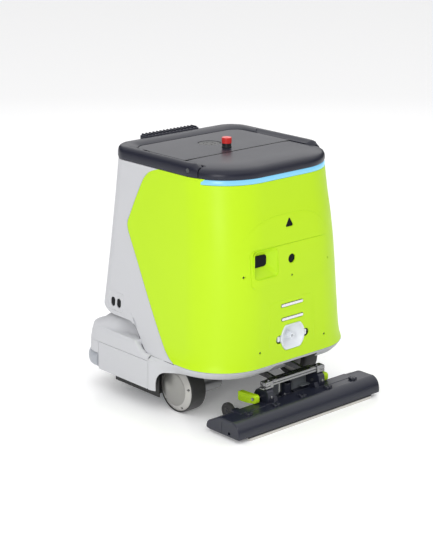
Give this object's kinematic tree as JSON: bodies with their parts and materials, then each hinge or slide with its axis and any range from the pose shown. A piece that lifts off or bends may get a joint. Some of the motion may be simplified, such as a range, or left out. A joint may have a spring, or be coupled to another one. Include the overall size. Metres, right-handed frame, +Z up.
{
  "type": "robotic floor cleaner",
  "caption": "Free-standing autonomous floor scrubber with a lidded body, scrub deck, driven wheels, casters and a lifting squeegee.",
  "frame": {"origin": "centre of the machine's footprint box, on the floor", "axes": "+Z up, +Y the way it drives, +X to the right seen from behind"},
  "size_m": [0.552, 0.629, 0.695],
  "materials": {
    "green_shell": "satin moulded plastic, lime green",
    "grey_shell": "fine-grained moulded plastic, pale grey",
    "dark_top": "satin moulded plastic, dark slate",
    "lens_black": "smooth smoked window",
    "black_plastic": "moulded plastic, black",
    "contact_metal": "bright plated strips",
    "port_plastic": "pale moulded plastic",
    "trim_dark": "small dark plugs",
    "light_strip": "lit diffuser, pale blue",
    "stop_red": "smooth red",
    "steel": "plain machined steel",
    "lift_metal": "extruded and cast aluminium",
    "bumper_grey": "slightly blue soft grey",
    "chassis_paint": "powder coat, dark grey",
    "tyre_rubber": "moulded rubber, black",
    "hub_metal": "satin metal cover",
    "bristle": "nylon bristle",
    "skirt_rubber": "sheet rubber, black",
    "board": "boxed electronics",
    "tank_plastic": "blow-moulded translucent plastic",
    "cap_blue": "moulded cap, blue",
    "blade_rubber": "gum rubber, light grey"
  },
  "bodies": {
    "frame": {"rear_cover": "green_shell", "front_shell": "grey_shell", "lower_skirt": "grey_shell", "rear_panel": "green_shell", "sensor_window": "lens_black", "sensor_lenses": "lens_black", "charge_contacts": "contact_metal", "dock_port": "port_plastic", "trim_plugs": "trim_dark", "light_strip": "light_strip", "rear_cap": "dark_top", "top_rim": "dark_top", "rim_grip": "dark_top", "lid_hinge_pins": "steel", "display": "black_plastic", "display_glass": "lens_black", "neck_cover": "grey_shell", "deck_housing": "grey_shell", "side_cover_left": "grey_shell", "side_cover_right": "grey_shell", "chassis": "chassis_paint", "drive_unit_left": "steel", "drive_unit_right": "steel", "battery": "black_plastic", "fan_motor": "black_plastic", "water_pump": "black_plastic", "control_unit": "board", "lift_motor": "steel", "clean_tank": "tank_plastic", "waste_tank": "tank_plastic"},
    "lid": {"lid": "dark_top", "ceiling_lens": "lens_black", "stop_base": "black_plastic"},
    "stop_button": {"stop_button": "stop_red"},
    "drive_wheel_left": {"tyre_left": "tyre_rubber", "hub_left": "hub_metal"},
    "drive_wheel_right": {"tyre_right": "tyre_rubber", "hub_right": "hub_metal"},
    "caster_left": {"caster_fork_left": "steel"},
    "caster_right": {"caster_fork_right": "steel"},
    "caster_roller_left": {"caster_wheel_left": "tyre_rubber"},
    "caster_roller_right": {"caster_wheel_right": "tyre_rubber"},
    "brush_deck": {"brush_frame": "chassis_paint", "brush_motor": "steel", "splash_skirt": "skirt_rubber"},
    "front_roller": {"brush_front": "bristle"},
    "rear_roller": {"brush_rear": "bristle"},
    "bumper": {"front_bumper": "bumper_grey"},
    "clean_cap": {"clean_cap": "cap_blue"},
    "waste_cap": {"waste_cap": "cap_blue"},
    "lift": {"lift_frame": "lift_metal"},
    "squeegee": {"head_carrier": "dark_top", "pivot_clamps": "lift_metal", "squeegee_head": "dark_top", "squeegee_blades": "blade_rubber", "blade_knobs": "dark_top"},
    "latch_left": {"latch_left": "green_shell"},
    "latch_right": {"latch_right": "green_shell"},
    "head_roller_left": {"head_roller_left": "tyre_rubber"},
    "head_roller_right": {"head_roller_right": "tyre_rubber"}
  },
  "joints": [
    {"name": "lid_hinge", "type": "hinge", "parent": "frame", "child": "lid", "pos_m": [0, -0.025, 0.663], "axis": [1, 0, 0], "range_deg": [0, 85]},
    {"name": "stop_press", "type": "slide", "parent": "lid", "child": "stop_button", "axis": [0, 0, -1], "range_m": [0, 0.005], "stiffness_N_per_m": 900, "springref_m": -0.002},
    {"name": "drive_left_spin", "type": "hinge", "parent": "frame", "child": "drive_wheel_left", "pos_m": [-0.209, -0.039, 0.065], "axis": [1, 0, 0], "continuous": true},
    {"name": "drive_right_spin", "type": "hinge", "parent": "frame", "child": "drive_wheel_right", "pos_m": [0.209, -0.039, 0.065], "axis": [1, 0, 0], "continuous": true},
    {"name": "caster_left_swivel", "type": "hinge", "parent": "frame", "child": "caster_left", "pos_m": [-0.11, 0.25, 0.138], "axis": [0, 0, 1], "continuous": true},
    {"name": "caster_left_roll", "type": "hinge", "parent": "caster_left", "child": "caster_roller_left", "pos_m": [-0.11, 0.23, 0.03], "axis": [1, 0, 0], "continuous": true},
    {"name": "caster_right_swivel", "type": "hinge", "parent": "frame", "child": "caster_right", "pos_m": [0.11, 0.25, 0.138], "axis": [0, 0, 1], "continuous": true},
    {"name": "caster_right_roll", "type": "hinge", "parent": "caster_right", "child": "caster_roller_right", "pos_m": [0.11, 0.23, 0.03], "axis": [1, 0, 0], "continuous": true},
    {"name": "deck_lower", "type": "slide", "parent": "frame", "child": "brush_deck", "axis": [0, 0, -1], "range_m": [0, 0.03]},
    {"name": "front_roller_spin", "type": "hinge", "parent": "brush_deck", "child": "front_roller", "pos_m": [0, 0.15, 0.067], "axis": [1, 0, 0], "continuous": true},
    {"name": "rear_roller_spin", "type": "hinge", "parent": "brush_deck", "child": "rear_roller", "pos_m": [0, 0.072, 0.067], "axis": [1, 0, 0], "continuous": true},
    {"name": "bumper_press", "type": "slide", "parent": "frame", "child": "bumper", "axis": [0, -1, 0], "range_m": [0, 0.004], "stiffness_N_per_m": 4000, "springref_m": -0.001},
    {"name": "clean_cap_hinge", "type": "hinge", "parent": "frame", "child": "clean_cap", "pos_m": [0.095, 0.1, 0.5614], "axis": [1, 0, 0], "range_deg": [0, 70]},
    {"name": "waste_cap_hinge", "type": "hinge", "parent": "frame", "child": "waste_cap", "pos_m": [-0.09, -0.02, 0.5534], "axis": [1, 0, 0], "range_deg": [0, 70]},
    {"name": "squeegee_lift", "type": "hinge", "parent": "frame", "child": "lift", "pos_m": [0, -0.12, 0.11], "axis": [-1, 0, 0], "range_deg": [0, 14]},
    {"name": "squeegee_level", "type": "hinge", "parent": "lift", "child": "squeegee", "pos_m": [0, -0.235, 0.101], "axis": [-1, 0, 0], "range_deg": [-14, 0]},
    {"name": "latch_left_swing", "type": "hinge", "parent": "squeegee", "child": "latch_left", "pos_m": [-0.126, -0.2316, 0.066], "axis": [1, 0, 0], "range_deg": [0, 30]},
    {"name": "head_roller_left_spin", "type": "hinge", "parent": "squeegee", "child": "head_roller_left", "pos_m": [-0.16, -0.166, 0.022], "axis": [1, 0, 0], "continuous": true},
    {"name": "latch_right_swing", "type": "hinge", "parent": "squeegee", "child": "latch_right", "pos_m": [0.126, -0.2316, 0.066], "axis": [1, 0, 0], "range_deg": [0, 30]},
    {"name": "head_roller_right_spin", "type": "hinge", "parent": "squeegee", "child": "head_roller_right", "pos_m": [0.16, -0.166, 0.022], "axis": [1, 0, 0], "continuous": true}
  ],
  "couplings": [
    {"joint": "rear_roller_spin", "follows": "front_roller_spin", "ratio": -1},
    {"joint": "squeegee_level", "follows": "squeegee_lift", "ratio": -1}
  ]
}
